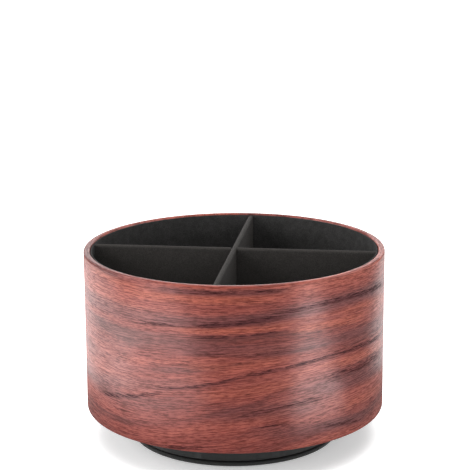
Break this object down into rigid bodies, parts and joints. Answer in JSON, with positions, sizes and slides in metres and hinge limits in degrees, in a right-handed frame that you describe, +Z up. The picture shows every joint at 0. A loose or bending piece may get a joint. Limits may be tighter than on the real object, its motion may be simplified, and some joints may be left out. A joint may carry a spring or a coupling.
{
  "type": "rotating desk organizer",
  "caption": "Round open-topped desk organizer wrapped in wood-grain leatherette, with crossed velvet dividers inside and a low ball-bearing turntable under it.",
  "frame": {"origin": "on the turning axis, at the table surface that the feet stand on", "axes": "+Z up along the turning axis, +X along the long divider to the right, +Y to the back"},
  "size_m": [0.158, 0.158, 0.1024],
  "materials": {
    "leatherette": "satin, printed with red-brown wood grain",
    "fibreboard": "plain board",
    "velvet": "short black pile",
    "cover_sheet": "thin black non-woven sheet",
    "black_plastic": "moulded, fine matt texture",
    "steel": "plated",
    "ball_steel": "polished",
    "nylon": "natural nylon",
    "black_rubber": "matt"
  },
  "bodies": {
    "turntable_base": {"turntable_base": "black_plastic", "hub_cap": "black_plastic", "rubber_foot_1": "black_rubber", "rubber_foot_2": "black_rubber", "rubber_foot_3": "black_rubber", "rubber_foot_4": "black_rubber"},
    "tub": {"outer_wrap": "leatherette", "wall_board": "fibreboard", "wall_lining": "velvet", "floor_board": "fibreboard", "floor_lining": "velvet", "underside_cover": "cover_sheet", "long_divider_board": "fibreboard", "long_divider_cover": "velvet", "cross_divider_board": "fibreboard", "cross_divider_cover": "velvet", "turntable_top": "black_plastic", "mounting_screws": "steel", "pivot_screw": "steel", "pivot_washer": "steel"},
    "cage": {"ball_cage": "nylon", "bearing_balls": "ball_steel"}
  },
  "joints": [
    {"name": "bowl_spin", "type": "hinge", "parent": "turntable_base", "child": "tub", "pos_m": [0, 0, 0.008], "axis": [0, 0, 1], "continuous": true},
    {"name": "cage_spin", "type": "hinge", "parent": "turntable_base", "child": "cage", "pos_m": [0, 0, 0.008], "axis": [0, 0, 1], "continuous": true}
  ],
  "couplings": [
    {"joint": "cage_spin", "follows": "bowl_spin", "ratio": 0.5}
  ]
}
